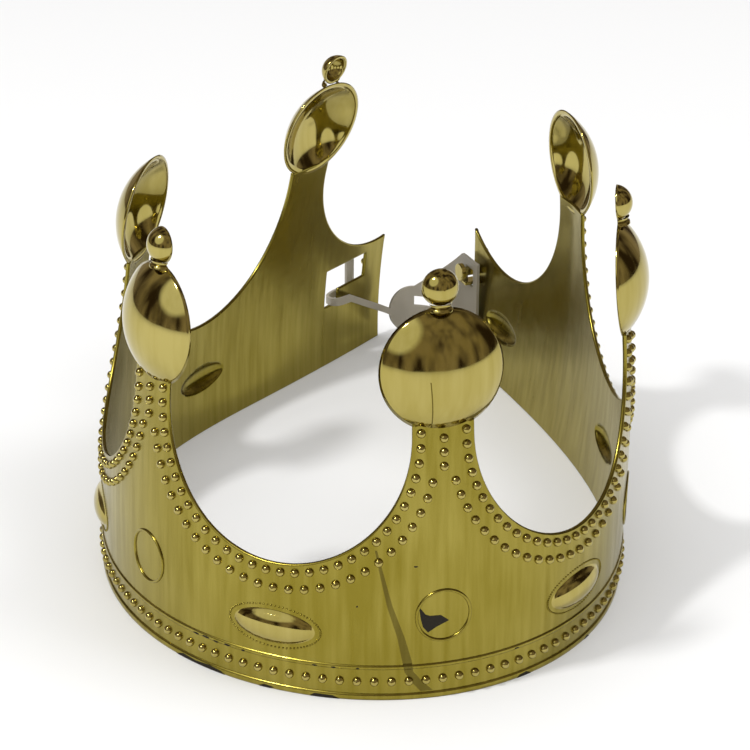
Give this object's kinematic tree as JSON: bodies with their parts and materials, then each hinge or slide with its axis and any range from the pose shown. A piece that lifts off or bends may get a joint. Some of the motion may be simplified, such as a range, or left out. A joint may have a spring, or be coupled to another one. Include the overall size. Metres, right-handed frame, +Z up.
{
  "type": "plastic costume crown",
  "caption": "Toy crown moulded in gold-metallised plastic, with domed points, scallops, cabochons and beads, sprung open and held at the back by a clear strap.",
  "frame": {"origin": "bottom edge plane, under the middle of the part's box", "axes": "+Z up, -Y to the front between the two front points, +X to the wearer's left"},
  "size_m": [0.167, 0.2446, 0.1233],
  "materials": {
    "gold_plastic": "metallised gold",
    "strap_plastic": "translucent frosted"
  },
  "bodies": {
    "root": {"crown": "gold_plastic", "closure_strap": "strap_plastic"}
  },
  "joints": []
}
